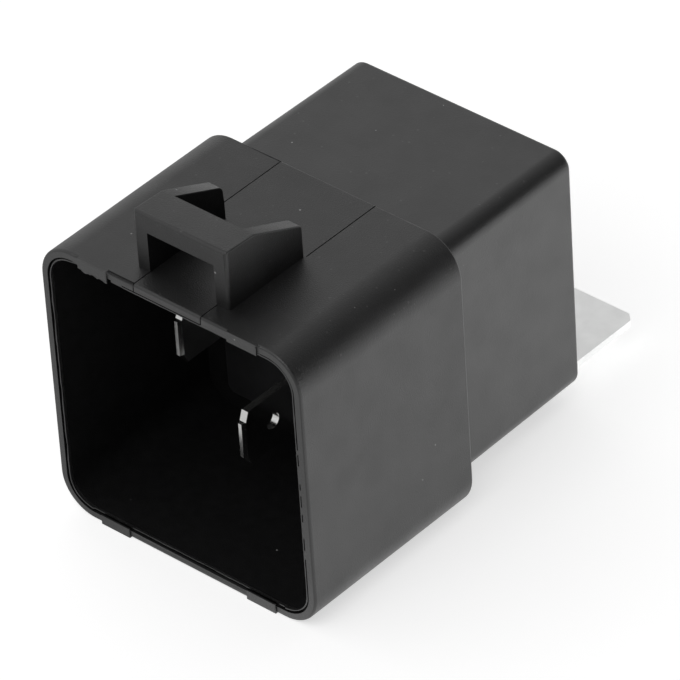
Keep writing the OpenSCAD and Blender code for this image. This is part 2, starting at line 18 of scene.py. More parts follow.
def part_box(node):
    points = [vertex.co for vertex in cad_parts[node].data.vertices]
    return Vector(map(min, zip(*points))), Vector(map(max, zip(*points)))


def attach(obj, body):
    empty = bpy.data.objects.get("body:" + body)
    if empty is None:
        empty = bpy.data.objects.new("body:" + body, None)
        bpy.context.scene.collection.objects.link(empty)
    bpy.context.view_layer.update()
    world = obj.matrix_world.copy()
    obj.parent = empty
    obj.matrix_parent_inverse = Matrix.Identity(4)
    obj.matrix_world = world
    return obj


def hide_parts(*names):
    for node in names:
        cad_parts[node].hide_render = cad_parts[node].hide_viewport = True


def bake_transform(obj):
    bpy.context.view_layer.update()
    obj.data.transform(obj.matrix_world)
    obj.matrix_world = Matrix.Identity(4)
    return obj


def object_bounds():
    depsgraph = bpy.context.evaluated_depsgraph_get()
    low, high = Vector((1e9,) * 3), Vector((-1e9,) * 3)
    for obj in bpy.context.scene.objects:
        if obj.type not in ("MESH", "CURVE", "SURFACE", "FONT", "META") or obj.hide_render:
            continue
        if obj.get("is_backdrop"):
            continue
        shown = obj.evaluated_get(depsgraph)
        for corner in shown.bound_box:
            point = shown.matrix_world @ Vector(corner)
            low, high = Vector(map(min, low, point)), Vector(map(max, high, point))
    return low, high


bl_info = {
    "name": "Automotive relay",
    "version": (1, 0, 0),
    "blender": (4, 5, 0),
    "location": "View3D > Sidebar > Relay",
    "description": "Finishes and moulding details of a sealed four-blade relay",
    "category": "Object",
}

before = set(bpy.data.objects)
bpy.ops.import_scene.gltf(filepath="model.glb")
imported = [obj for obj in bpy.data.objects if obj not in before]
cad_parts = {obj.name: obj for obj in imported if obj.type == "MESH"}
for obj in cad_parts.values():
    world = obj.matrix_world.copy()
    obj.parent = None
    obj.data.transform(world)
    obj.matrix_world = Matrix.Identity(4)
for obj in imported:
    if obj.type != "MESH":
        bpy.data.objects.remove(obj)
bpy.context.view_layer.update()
MM = 0.001

# the housing's four copies of its plastic, in the order of their slots; the third, duller one is
# painted shade inside the mouth and under the loop, the fourth, more reflective one a painted
# sheen on the rim's front and pads
SKIRT, CASE, WALLS_PAINTED_SHADE, RIM_PAINTED_SHEEN = range(4)

# where the flash fills the lead-in step or is worn down, in mm from the middle or the floor
FILLED_ALONG_TOP = ((4.2, 11.5), (-7.3, -6.0), (-11.3, -10.4))
WORN_ALONG_TOP = (-10.0, -7.4)
FILLED_UP_RIGHT = (8.0, 22.0)


# ---------- settings ----------


class RelayMouldingSettings(bpy.types.PropertyGroup):
    """Sizes and colours of the moulded black plastic."""

    plastic: FloatVectorProperty(
        name="Plastic colour",
        description="Colour of the black housing plastic",
        subtype="COLOR",
        default=(0.006, 0.006, 0.0062),
        min=0.0,
        max=1.0,
    )
    dust: FloatVectorProperty(
        name="Dust colour",
        description="Colour of the few dust specks on the plastic",
        subtype="COLOR",
        default=(0.22, 0.22, 0.22),
        min=0.0,
        max=1.0,
    )
    film: FloatVectorProperty(
        name="Fine dust colour",
        description="Colour of the plastic under the finest dust",
        subtype="COLOR",
        default=(0.03, 0.03, 0.03),
        min=0.0,
        max=1.0,
    )
    grain_size: FloatProperty(
        name="Grain size",
        description="Width of one grain of the spark-eroded mould texture",
        unit="LENGTH",
        default=0.15 * MM,
    )
    grain_depth: FloatProperty(
        name="Grain depth",
        description="Depth of the mould texture",
        unit="LENGTH",
        default=0.022 * MM,
    )
    case_start: FloatProperty(
        name="Case start",
        description="Distance from the mouth's plane to the case behind the skirt",
        unit="LENGTH",
        default=23.3 * MM,
    )
    pad_rise: FloatProperty(
        name="Pad rise",
        description="Height of the rim pads in front of the mouth's plane",
        unit="LENGTH",
        default=0.2 * MM,
    )
    pad_place: FloatProperty(
        name="Pad place",
        description="Distance of each rim pad from the middle",
        unit="LENGTH",
        default=9.45 * MM,
    )
    pad_length: FloatProperty(
        name="Pad length",
        description="Length of each rim pad",
        unit="LENGTH",
        default=3.7 * MM,
    )
    fringe_drop: FloatProperty(
        name="Fringe drop",
        description="Greatest drop of the ragged edge under the upper left pad",
        unit="LENGTH",
        default=0.32 * MM,
    )
    fringe_spacing: FloatProperty(
        name="Fringe spacing",
        description="Distance between two places of the ragged edge",
        unit="LENGTH",
        default=0.12 * MM,
    )
    skirt_width: FloatProperty(
        name="Skirt width",
        description="Outside width of the skirt",
        unit="LENGTH",
        default=33 * MM,
    )
    skirt_height: FloatProperty(
        name="Skirt height",
        description="Outside height of the skirt",
        unit="LENGTH",
        default=32.4 * MM,
    )
    wall: FloatProperty(
        name="Skirt wall",
        description="Thickness of the skirt's wall",
        unit="LENGTH",
        default=1.2 * MM,
    )
    mouth_round: FloatProperty(
        name="Mouth corner radius",
        description="Corner radius of the mouth's inner outline",
        unit="LENGTH",
        default=2.9 * MM,
    )
    step_depth: FloatProperty(
        name="Step depth",
        description="Depth of the lead-in step behind the mouth's plane",
        unit="LENGTH",
        default=0.45 * MM,
    )
    step_width: FloatProperty(
        name="Step width",
        description="Width of the lead-in step",
        unit="LENGTH",
        default=0.35 * MM,
    )
    edge_round: FloatProperty(
        name="Edge rounding",
        description="Radius on the free edges of the lock loop",
        unit="LENGTH",
        default=0.16 * MM,
    )
    pad_round: FloatProperty(
        name="Pad rounding",
        description="Radius on the edges of the small pads on the rim",
        unit="LENGTH",
        default=0.08 * MM,
    )
    flash_height: FloatProperty(
        name="Flash height",
        description="Greatest height of the thin flash on the lead-in step",
        unit="LENGTH",
        default=0.4 * MM,
    )
    flash_thickness: FloatProperty(
        name="Flash thickness",
        description="Thickness of the flash",
        unit="LENGTH",
        default=0.13 * MM,
    )


class RelayMetalSettings(bpy.types.PropertyGroup):
    """Colours of the metal and inner pieces."""

    plating: FloatVectorProperty(
        name="Tin plating",
        description="Colour of the plated blades",
        subtype="COLOR",
        default=(0.78, 0.78, 0.77),
        min=0.0,
        max=1.0,
    )
    zinc: FloatVectorProperty(
        name="Zinc plating",
        description="Colour of the mounting tab",
        subtype="COLOR",
        default=(0.9, 0.905, 0.9),
        min=0.0,
        max=1.0,
    )
    iron: FloatVectorProperty(
        name="Soft iron",
        description="Colour of the core, yoke, armature and rivets",
        subtype="COLOR",
        default=(0.5, 0.5, 0.51),
        min=0.0,
        max=1.0,
    )
    copper: FloatVectorProperty(
        name="Enamelled copper",
        description="Colour of the winding and its leads",
        subtype="COLOR",
        default=(0.55, 0.22, 0.09),
        min=0.0,
        max=1.0,
    )
    bronze: FloatVectorProperty(
        name="Spring bronze",
        description="Colour of the contact spring",
        subtype="COLOR",
        default=(0.66, 0.45, 0.22),
        min=0.0,
        max=1.0,
    )
    silver: FloatVectorProperty(
        name="Contact silver",
        description="Colour of the two contacts",
        subtype="COLOR",
        default=(0.83, 0.82, 0.8),
        min=0.0,
        max=1.0,
    )
    nylon: FloatVectorProperty(
        name="Bobbin nylon",
        description="Colour of the bobbin",
        subtype="COLOR",
        default=(0.72, 0.68, 0.56),
        min=0.0,
        max=1.0,
    )
    lacquer: FloatVectorProperty(
        name="Resistor lacquer",
        description="Colour of the resistor's coat",
        subtype="COLOR",
        default=(0.2, 0.3, 0.38),
        min=0.0,
        max=1.0,
    )
    bend_start: FloatVectorProperty(
        name="Bend start",
        description="Where the leaf spring leaves the yoke and starts to bend",
        subtype="XYZ",
        unit="LENGTH",
        default=(0.0, 0.0065, 0.00415),
    )
    bend_end: FloatVectorProperty(
        name="Bend end",
        description="Where the leaf spring lies on the armature and moves with it",
        subtype="XYZ",
        unit="LENGTH",
        default=(0.0, 0.01165, 0.01),
    )
    sealant: FloatVectorProperty(
        name="Sealant",
        description="Colour of the poured sealing compound",
        subtype="COLOR",
        default=(0.016, 0.016, 0.017),
        min=0.0,
        max=1.0,
    )


class RelayStageSettings(bpy.types.PropertyGroup):
    """Floor, lamps and camera."""

    floor: FloatVectorProperty(
        name="Floor colour",
        description="Colour of the plain floor",
        subtype="COLOR",
        default=(0.9, 0.9, 0.9),
        min=0.0,
        max=1.0,
    )
    floor_width: FloatProperty(
        name="Floor width",
        description="Width of the floor",
        unit="LENGTH",
        default=3.0,
    )
    azimuth: FloatProperty(
        name="Camera azimuth",
        description="Angle of the camera round the relay, from the mouth's side",
        subtype="ANGLE",
        default=math.radians(43.33),
    )
    elevation: FloatProperty(
        name="Camera elevation",
        description="Angle of the camera above the horizon",
        subtype="ANGLE",
        default=math.radians(37.54),
    )
    roll: FloatProperty(
        name="Camera roll",
        description="Turn of the camera about its own line of sight",
        subtype="ANGLE",
        default=math.radians(-3.87),
    )
    distance: FloatProperty(
        name="Camera distance",
        description="Distance from the camera to the point it looks at",
        unit="LENGTH",
        default=0.69684,
    )
    target: FloatVectorProperty(
        name="Camera target",
        description="Point that the camera looks at",
        subtype="XYZ",
        unit="LENGTH",
        default=(-0.00158, -0.00145, 0.01159),
    )
    lens: FloatProperty(
        name="Focal length",
        description="Focal length in millimetres on a 36 mm sensor",
        default=377.65,
    )
    world_left: FloatProperty(
        name="Surround on the left",
        description="Brightness of the white surround at its left end",
        default=0.9,
    )
    world_right: FloatProperty(
        name="Surround on the right",
        description="Brightness of the white surround at its right end",
        default=0.1,
    )
    floor_glow: FloatProperty(
        name="Floor glow",
        description="Part of the floor's white that shadows can't darken",
        default=0.6,
    )
    floor_white: FloatProperty(
        name="Floor white",
        description="Floor's white as the camera and the reflections see it",
        default=1.27,
    )
    front_share: FloatProperty(
        name="Front share",
        description="Share of that white which reflections find in front of the relay",
        default=0.6,
    )
    back_share: FloatProperty(
        name="Back share",
        description="Share of that white which reflections find behind the relay",
        default=1.25,
    )
    key_energy: FloatProperty(
        name="Key lamp",
        description="Power of the large soft lamp above",
        subtype="POWER",
        default=3.0,
    )
    key_width: FloatProperty(
        name="Key lamp width",
        description="Width and height of the square lamp",
        unit="LENGTH",
        default=0.7,
    )
    key_place: FloatVectorProperty(
        name="Key lamp place",
        description="Where the lamp stands; it points at the frame's origin",
        subtype="XYZ",
        unit="LENGTH",
        default=(0.15, -0.6, 0.75),
    )


# ---------- shader building blocks ----------


def add_node(tree, kind, x, y, **values):
    """A shader node at a place in its tree, with its settings."""
    made = tree.nodes.new(kind)
    made.location = (x, y)
    for key, value in values.items():
        setattr(made, key, value)
    return made


def maths(tree, x, y, operation, *values):
    """A Math node on two or three sockets or numbers; returns its output socket."""
    made = add_node(tree, "ShaderNodeMath", x, y, operation=operation)
    for socket, value in zip(made.inputs, values):
        if isinstance(value, bpy.types.NodeSocket):
            tree.links.new(value, socket)
        else:
            socket.default_value = value
    return made.outputs[0]


def map_range(tree, x, y, value, from_span, to_span):
    """A clamped Map Range node from one span to another; returns its output socket."""
    made = add_node(tree, "ShaderNodeMapRange", x, y)
    tree.links.new(value, made.inputs["Value"])
    made.inputs["From Min"].default_value = from_span[0]
    made.inputs["From Max"].default_value = from_span[1]
    made.inputs["To Min"].default_value = to_span[0]
    made.inputs["To Max"].default_value = to_span[1]
    return made.outputs["Result"]


def mix_colour(tree, x, y, share, first, second):
    """A Mix node from a colour's socket to a plain colour; returns its output socket."""
    made = add_node(tree, "ShaderNodeMix", x, y, data_type="RGBA")
    factor, colour_a, colour_b = made.inputs[0], made.inputs[6], made.inputs[7]
    tree.links.new(share, factor)
    tree.links.new(first, colour_a)
    colour_b.default_value = (*second[:3], 1.0)
    return made.outputs[2]


def new_group(name, inputs, outputs):
    """An empty shader group with named inputs and outputs; returns its tree and its end nodes."""
    tree = bpy.data.node_groups.new(name, "ShaderNodeTree")
    for socket_name, kind, default in inputs:
        made = tree.interface.new_socket(socket_name, in_out="INPUT", socket_type=kind)
        if default is not None:
            made.default_value = default
    for socket_name, kind in outputs:
        tree.interface.new_socket(socket_name, in_out="OUTPUT", socket_type=kind)
    source = add_node(tree, "NodeGroupInput", -900, 0)
    target = add_node(tree, "NodeGroupOutput", 700, 0)
    return tree, source, target


def grain_group():
    """Even grain of a spark-eroded mould: a height, and slow mottling."""
    tree, source, target = new_group(
        "moulding_grain",
        [
            ("Vector", "NodeSocketVector", None),
            ("Grain Size", "NodeSocketFloat", 0.16 * MM),
            ("Mottle Size", "NodeSocketFloat", 4 * MM),
        ],
        [("Height", "NodeSocketFloat"), ("Mottle", "NodeSocketFloat")],
    )
    fine_scale = maths(tree, -700, 120, "DIVIDE", 1.0, source.outputs["Grain Size"])
    fine = add_node(tree, "ShaderNodeTexNoise", -500, 160)
    fine.inputs["Detail"].default_value = 2.0
    fine.inputs["Roughness"].default_value = 0.6
    slow_scale = maths(tree, -700, -160, "DIVIDE", 1.0, source.outputs["Mottle Size"])
    slow = add_node(tree, "ShaderNodeTexNoise", -500, -120)
    slow.inputs["Detail"].default_value = 3.0
    for texture, scale in ((fine, fine_scale), (slow, slow_scale)):
        tree.links.new(source.outputs["Vector"], texture.inputs["Vector"])
        tree.links.new(scale, texture.inputs["Scale"])
    height = map_range(tree, -200, 160, fine.outputs["Fac"], (0.25, 0.75), (0.0, 1.0))
    mottle = map_range(tree, -200, -120, slow.outputs["Fac"], (0.3, 0.7), (0.0, 1.0))
    tree.links.new(height, target.inputs["Height"])
    tree.links.new(mottle, target.inputs["Mottle"])
    return tree


def drift_group():
    """Slow change of a colour over a surface, brighter and darker by the same share."""
    tree, source, target = new_group(
        "colour_drift",
        [
            ("Vector", "NodeSocketVector", None),
            ("Colour", "NodeSocketColor", (0.5, 0.5, 0.5, 1.0)),
            ("Patch Size", "NodeSocketFloat", 6 * MM),
            ("Drift", "NodeSocketFloat", 0.1),
        ],
        [("Colour", "NodeSocketColor")],
    )
    scale = maths(tree, -700, -100, "DIVIDE", 1.0, source.outputs["Patch Size"])
    patches = add_node(tree, "ShaderNodeTexNoise", -500, -60)
    patches.inputs["Detail"].default_value = 3.0
    tree.links.new(source.outputs["Vector"], patches.inputs["Vector"])
    tree.links.new(scale, patches.inputs["Scale"])
    centred = map_range(tree, -300, -60, patches.outputs["Fac"], (0.3, 0.7), (-1.0, 1.0))
    swing = maths(tree, -120, -60, "MULTIPLY", centred, source.outputs["Drift"])
    level = maths(tree, 40, -60, "ADD", swing, 1.0)
    scaled = add_node(tree, "ShaderNodeVectorMath", 260, 60, operation="SCALE")
    tree.links.new(source.outputs["Colour"], scaled.inputs[0])
    tree.links.new(level, scaled.inputs["Scale"])
    tree.links.new(scaled.outputs["Vector"], target.inputs["Colour"])
    return tree


def dust_group():
    """Mask of a few small specks, each in a random cell of the surface."""
    tree, source, target = new_group(
        "dust_specks",
        [
            ("Vector", "NodeSocketVector", None),
            ("Spacing", "NodeSocketFloat", 1.6 * MM),
            ("Speck Size", "NodeSocketFloat", 0.06),
            ("Share", "NodeSocketFloat", 0.12),
        ],
        [("Mask", "NodeSocketFloat")],
    )
    scale = maths(tree, -700, -100, "DIVIDE", 1.0, source.outputs["Spacing"])
    cells = add_node(tree, "ShaderNodeTexVoronoi", -500, 60)
    tree.links.new(source.outputs["Vector"], cells.inputs["Vector"])
    tree.links.new(scale, cells.inputs["Scale"])
    split = add_node(tree, "ShaderNodeSeparateColor", -280, -60)
    tree.links.new(cells.outputs["Color"], split.inputs["Color"])
    chosen = maths(tree, -80, -60, "LESS_THAN", split.outputs[0], source.outputs["Share"])
    radius = maths(tree, -80, -220, "MULTIPLY", split.outputs[1], source.outputs["Speck Size"])
    inside = maths(tree, 100, 80, "LESS_THAN", cells.outputs["Distance"], radius)
    mask = maths(tree, 300, 0, "MULTIPLY", inside, chosen)
    tree.links.new(mask, target.inputs["Mask"])
    return tree


def strip_group():
    """Fine lines left along a strip by rolling: a height and a wear value."""
    tree, source, target = new_group(
        "rolled_strip",
        [
            ("Vector", "NodeSocketVector", None),
            ("Line Width", "NodeSocketFloat", 0.08 * MM),
            ("Line Length", "NodeSocketFloat", 4 * MM),
        ],
        [("Height", "NodeSocketFloat"), ("Wear", "NodeSocketFloat")],
    )
    across = maths(tree, -720, 120, "DIVIDE", 1.0, source.outputs["Line Width"])
    along = maths(tree, -720, -60, "DIVIDE", 1.0, source.outputs["Line Length"])
    factors = add_node(tree, "ShaderNodeCombineXYZ", -540, 60)
    tree.links.new(across, factors.inputs["X"])
    tree.links.new(along, factors.inputs["Y"])
    tree.links.new(across, factors.inputs["Z"])
    stretched = add_node(tree, "ShaderNodeVectorMath", -360, 100, operation="MULTIPLY")
    tree.links.new(source.outputs["Vector"], stretched.inputs[0])
    tree.links.new(factors.outputs["Vector"], stretched.inputs[1])
    lines = add_node(tree, "ShaderNodeTexNoise", -160, 120)
    lines.inputs["Scale"].default_value = 1.0
    lines.inputs["Detail"].default_value = 2.0
    tree.links.new(stretched.outputs["Vector"], lines.inputs["Vector"])
    worn = add_node(tree, "ShaderNodeTexNoise", -160, -160)
    worn.inputs["Detail"].default_value = 4.0
    tree.links.new(source.outputs["Vector"], worn.inputs["Vector"])
    tree.links.new(along, worn.inputs["Scale"])
    tree.links.new(lines.outputs["Fac"], target.inputs["Height"])
    wear = map_range(tree, 120, -160, worn.outputs["Fac"], (0.3, 0.7), (0.0, 1.0))
    tree.links.new(wear, target.inputs["Wear"])
    return tree


GROUP_MAKERS = {
    "moulding_grain": grain_group,
    "colour_drift": drift_group,
    "dust_specks": dust_group,
    "rolled_strip": strip_group,
}


def use_group(tree, name, x, y, vector, **values):
    """Places a shared group in a material, with its own values; the first use makes the group."""
    shared = bpy.data.node_groups.get(name) or GROUP_MAKERS[name]()
    made = add_node(tree, "ShaderNodeGroup", x, y, node_tree=shared)
    tree.links.new(vector, made.inputs["Vector"])
    for key, value in values.items():
        socket = made.inputs[key.replace("_", " ")]
        socket.default_value = (*value[:3], 1.0) if socket.type == "RGBA" else value
    return made


def new_material(name):
    """A material; returns it, its tree, its shader and the piece's own coordinates."""
    made = bpy.data.materials.new(name)
    made.use_nodes = True
    tree = made.node_tree
    shader = tree.nodes["Principled BSDF"]
    shader.location = (500, 0)
    coordinates = add_node(tree, "ShaderNodeTexCoord", -1000, 0)
    return made, tree, shader, coordinates.outputs["Object"]


def add_bump(tree, shader, height, depth):
    """Feeds a height through a Bump node into the shader's normal."""
    bump = add_node(tree, "ShaderNodeBump", 250, -300)
    bump.inputs["Distance"].default_value = depth
    tree.links.new(height, bump.inputs["Height"])
    tree.links.new(bump.outputs["Normal"], shader.inputs["Normal"])


def add_roughness(tree, shader, mask, smooth, rough):
    """Lets the shader's roughness follow a mask, from its smooth to its rough value."""
    dull = map_range(tree, -100, 0, mask, (0.0, 1.0), (smooth, rough))
    tree.links.new(dull, shader.inputs["Roughness"])


def drifting_colour(tree, vector, colour, patch, drift):
    """A colour that changes slowly over the surface; returns its output socket."""
    made = use_group(
        tree, "colour_drift", -700, 300, vector, Colour=colour, Patch_Size=patch, Drift=drift
    )
    return made.outputs["Colour"]


def mould_grain(tree, vector, grain, mottle):
    """The mould's texture in a material, with the width of a grain and of a dull patch."""
    sizes = {"Grain_Size": grain, "Mottle_Size": mottle}
    return use_group(tree, "moulding_grain", -700, 0, vector, **sizes)


# ---------- materials ----------


def housing_plastic(name, index, smooth, rough, depth_share=1.0, specular=0.5, dust_share=0.6):
    """Black glass-filled plastic with a fine mould grain and specks of coarse and fine dust."""
    look = bpy.context.scene.relay_moulding
    made, tree, shader, vector = new_material(name)
    grain = mould_grain(tree, vector, grain=look.grain_size, mottle=3.5 * MM)
    colour = drifting_colour(tree, vector, look.plastic, patch=1.2 * MM, drift=0.2)
    coarse = {"Spacing": 2 * MM, "Share": dust_share}
    fine = {"Spacing": 0.7 * MM, "Share": 0.5 * dust_share, "Speck_Size": 0.2}
    coarse_mask = use_group(tree, "dust_specks", -700, -200, vector, **coarse).outputs["Mask"]
    fine_mask = use_group(tree, "dust_specks", -700, -400, vector, **fine).outputs["Mask"]
    filmed = mix_colour(tree, 0, 350, fine_mask, colour, look.film)
    dusty = mix_colour(tree, 200, 250, coarse_mask, filmed, look.dust)
    tree.links.new(dusty, shader.inputs["Base Color"])
    add_roughness(tree, shader, grain.outputs["Mottle"], smooth, rough)
    shader.inputs["IOR"].default_value = index
    shader.inputs["Specular IOR Level"].default_value = specular
    add_bump(tree, shader, grain.outputs["Height"], look.grain_depth * depth_share)
    return made


def sealing_compound():
    """Poured black epoxy: smooth, a little wavy and duller in patches."""
    look = bpy.context.scene.relay_metals
    made, tree, shader, vector = new_material("sealing_compound")
    waves = mould_grain(tree, vector, grain=2 * MM, mottle=5 * MM)
    wave_depth = 0.03 * MM
    colour = drifting_colour(tree, vector, look.sealant, patch=4 * MM, drift=0.2)
    tree.links.new(colour, shader.inputs["Base Color"])
    add_roughness(tree, shader, waves.outputs["Mottle"], smooth=0.34, rough=0.5)
    add_bump(tree, shader, waves.outputs["Height"], wave_depth)
    return made


def strip_metal(name, colour, smooth, rough, metallic=1.0):
    """Rolled or plated metal: fine lines along the strip and patches of duller plating."""
    made, tree, shader, vector = new_material(name)
    lines = use_group(tree, "rolled_strip", -700, 0, vector)
    line_depth = 0.0012 * MM
    drifting = drifting_colour(tree, vector, colour, patch=3 * MM, drift=0.06)
    tree.links.new(drifting, shader.inputs["Base Color"])
    shader.inputs["Metallic"].default_value = metallic
    add_roughness(tree, shader, lines.outputs["Wear"], smooth, rough)
    add_bump(tree, shader, lines.outputs["Height"], line_depth)
    return made


def moulded_nylon():
    """Pale natural nylon with a faint grain."""
    look = bpy.context.scene.relay_metals
    made, tree, shader, vector = new_material("bobbin_nylon")
    grain = mould_grain(tree, vector, grain=0.2 * MM, mottle=4 * MM)
    grain_depth = 0.004 * MM
    colour = drifting_colour(tree, vector, look.nylon, patch=5 * MM, drift=0.06)
    tree.links.new(colour, shader.inputs["Base Color"])
    add_roughness(tree, shader, grain.outputs["Mottle"], smooth=0.4, rough=0.5)
    add_bump(tree, shader, grain.outputs["Height"], grain_depth)
    return made


def wound_copper():
    """Enamelled wire: the turns lie side by side along the coil, each a fine ridge."""
    look = bpy.context.scene.relay_metals
    made, tree, shader, vector = new_material("enamelled_copper_wire")
    colour = drifting_colour(tree, vector, look.copper, patch=2 * MM, drift=0.15)
    wire_pitch = 0.16 * MM
    ridge_depth = 0.05 * MM
    # share of the wire's colour left in the grooves between turns: painted shade
    groove_shade = 0.5
    # width of one band of the Wave texture at scale 1
    band_at_scale_one = 0.314
    turns = add_node(
        tree, "ShaderNodeTexWave", -700, 0, wave_type="BANDS", bands_direction="Y"
    )
    turns.inputs["Scale"].default_value = band_at_scale_one / wire_pitch
    turns.inputs["Distortion"].default_value = 0.6
    turns.inputs["Detail Scale"].default_value = 0.3
    tree.links.new(vector, turns.inputs["Vector"])
    ridges = turns.outputs["Fac"]
    shade = maths(tree, -400, 60, "MULTIPLY_ADD", ridges, 1 - groove_shade, groove_shade)
    scaled = add_node(tree, "ShaderNodeVectorMath", -150, 250, operation="SCALE")
    tree.links.new(colour, scaled.inputs[0])
    tree.links.new(shade, scaled.inputs["Scale"])
    tree.links.new(scaled.outputs["Vector"], shader.inputs["Base Color"])
    shader.inputs["Metallic"].default_value = 0.75
    shader.inputs["Roughness"].default_value = 0.32
    add_bump(tree, shader, ridges, ridge_depth)
    return made


# ---------- shapes ----------


def dress(names, material):
    """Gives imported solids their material, in every slot they have."""
    for name in names:
        for material_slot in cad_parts[name].material_slots:
            material_slot.material = material


def clean_copy(name):
    """An editable copy of a solid's mesh, with its flat faces whole again."""
    same_place = 0.001 * MM
    flat = math.radians(0.05)
    mesh = bmesh.new()
    mesh.from_mesh(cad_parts[name].data)
    bmesh.ops.remove_doubles(mesh, verts=mesh.verts, dist=same_place)
    bmesh.ops.dissolve_limit(mesh, angle_limit=flat, verts=mesh.verts, edges=mesh.edges)
    mesh.normal_update()
    return mesh


def outer_edges(mesh, wanted):
    """The edges of a mesh that stand out and lie where wanted says."""
    least_angle = math.radians(30)
    found = []
    for edge in mesh.edges:
        if len(edge.link_faces) != 2 or not edge.is_convex:
            continue
        if edge.calc_face_angle() > least_angle and wanted(edge):
            found.append(edge)
    return found


def finish_mesh(mesh, name, materials):
    """Turns an edited mesh into a piece with its materials."""
    sharp = math.radians(35)
    data = bpy.data.meshes.new(name)
    mesh.to_mesh(data)
    mesh.free()
    for material in materials:
        data.materials.append(material)
    piece = bpy.data.objects.new(name, data)
    bpy.context.scene.collection.objects.link(piece)
    data.shade_smooth()
    data.set_sharp_from_angle(angle=sharp)
    weighted = piece.modifiers.new("even_shading", "WEIGHTED_NORMAL")
    weighted.keep_sharp = True
    weighted.weight = 100
    return piece


def mouth_distance(point, floor_z):
    """Distance of a point outside the mouth's inner outline, seen along the relay."""
    look = bpy.context.scene.relay_moulding
    across = abs(point.x) - (look.skirt_width / 2 - look.wall - look.mouth_round)
    upright = abs(point.z - floor_z - look.skirt_height / 2)
    upright -= look.skirt_height / 2 - look.wall - look.mouth_round
    beyond = math.hypot(max(across, 0.0), max(upright, 0.0))
    return beyond + min(max(across, upright), 0.0) - look.mouth_round


def build_housing(plastic_copies):
    """The housing with small radii on the lock loop and the rim pads, in four copies of its
    plastic, with painted shade inside the mouth and under the loop and a painted sheen on the
    rim's front.
    """
    look = bpy.context.scene.relay_moulding
    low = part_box("housing")[0]
    skirt_top = low.z + look.skirt_height
    rim_y = low.y + look.pad_rise
    near = 0.02 * MM
    mesh = clean_copy("housing")

    def on_loop(edge):
        return all(vertex.co.z > skirt_top + near for vertex in edge.verts)

    # faces on the loop's inner sides and underside, which get painted shade
    def loop_faces_in_shade(face):
        centre = face.calc_center_median()
        if centre.z < skirt_top + near:
            return False
        least_turn = 0.5
        facing_in = face.normal.x * centre.x < -least_turn * abs(centre.x)
        facing_down = face.normal.z < -least_turn
        return facing_in or facing_down

    def on_pad(edge):
        return all(vertex.co.y < rim_y - near for vertex in edge.verts)

    for wanted, radius in ((on_loop, look.edge_round), (on_pad, look.pad_round)):
        bmesh.ops.bevel(
            mesh,
            geom=outer_edges(mesh, wanted),
            offset=radius,
            offset_type="OFFSET",
            segments=3,
            profile=0.5,
            affect="EDGES",
            clamp_overlap=False,
        )
    case_y = rim_y + look.case_start - near
    # the case lies behind the mouth's outline, so it is told apart before the faces inside the
    # mouth
    for face in mesh.faces:
        reach = max(mouth_distance(vertex.co, low.z) for vertex in face.verts)
        if all(vertex.co.y > case_y for vertex in face.verts):
            face.material_index = CASE
        # faces inside the mouth and on the loop's inner sides and underside: painted shade, a
        # duller and less reflective copy of the plastic
        elif reach < look.step_width + near or loop_faces_in_shade(face):
            face.material_index = WALLS_PAINTED_SHADE
        # faces in front of the mouth's plane, the rim's front and pads: painted sheen, a more
        # reflective copy of the plastic
        elif all(vertex.co.y < rim_y + near for vertex in face.verts):
            face.material_index = RIM_PAINTED_SHEEN
        else:
            face.material_index = SKIRT
    piece = finish_mesh(mesh, "housing_shell", plastic_copies)
    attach(piece, "case")
    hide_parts("housing")


def mouth_outline(spacing):
    """Places and outward directions round the mouth's inner outline, with a name per side."""
    look = bpy.context.scene.relay_moulding
    radius = look.mouth_round
    half_w = look.skirt_width / 2 - look.wall - radius
    half_h = look.skirt_height / 2 - look.wall - radius
    centre = Vector((0, 0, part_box("housing")[0].z + look.skirt_height / 2))
    # each side's name, the corner it starts from, its outward angle and half its length
    sides = (
        ("right", half_w, -half_h, 0, half_h),
        ("top", half_w, half_h, 90, half_w),
        ("left", -half_w, half_h, 180, half_h),
        ("bottom", -half_w, -half_h, 270, half_w),
    )
    found = []
    for name, x, z, start, half in sides:
        out = Vector((math.cos(math.radians(start)), 0, math.sin(math.radians(start))))
        ahead = Vector((-out.z, 0, out.x))
        corner = centre + Vector((x, 0, z))
        steps = round(2 * half / spacing)
        for step in range(steps):
            place = corner + out * radius + ahead * (2 * half * step / steps)
            found.append((name, place, out))
        turn = corner + ahead * 2 * half
        steps = round(radius * math.pi / 2 / spacing)
        for step in range(steps):
            angle = math.radians(start + 90 * step / steps)
            out = Vector((math.cos(angle), 0, math.sin(angle)))
            found.append((name + "_corner", turn + out * radius, out))
    return found


def join_rings(mesh, ring, following):
    """Four faces between two rings of four corners."""
    for corner in range(4):
        across = (corner + 1) % 4
        mesh.faces.new((ring[corner], ring[across], following[across], following[corner]))


def lies_in(span, place):
    """Whether a place lies between the two ends of a span."""
    return span[0] < place < span[1]


def flash_shape(side, place):
    """Height of the flash at a place, and its width, as shares of the greatest height and step."""
    look = bpy.context.scene.relay_moulding
    usual_height = 0.9
    lower_at_bottom = 0.3
    worn_height = 0.12
    filled_height = 0.95
    filled_lower = 0.05
    least_height = 0.1
    slow_length = 2.2 * MM
    quick_length = 0.5 * MM
    other_patch = Vector((7, 3, 5))
    slow = noise.noise(place / slow_length)
    quick = noise.noise(place / quick_length + other_patch)
    height = usual_height + 0.08 * slow + 0.05 * quick
    width = look.flash_thickness / look.step_width * (1 + 0.5 * slow)
    x = place.x / MM
    z = place.z / MM
    filled = False
    if side == "bottom":
        height -= lower_at_bottom
    elif side == "top":
        filled = any(lies_in(span, x) for span in FILLED_ALONG_TOP)
        if lies_in(WORN_ALONG_TOP, x):
            height = worn_height
        elif x < WORN_ALONG_TOP[0]:
            height += 0.5 * quick
            width *= 1 + 1.2 * abs(quick)
    elif side == "right":
        filled = lies_in(FILLED_UP_RIGHT, z) and slow + 0.8 * quick > 0.0
    if filled:
        width = 1.0
        height = min(height, filled_height) - filled_lower
    return max(height, least_height), width


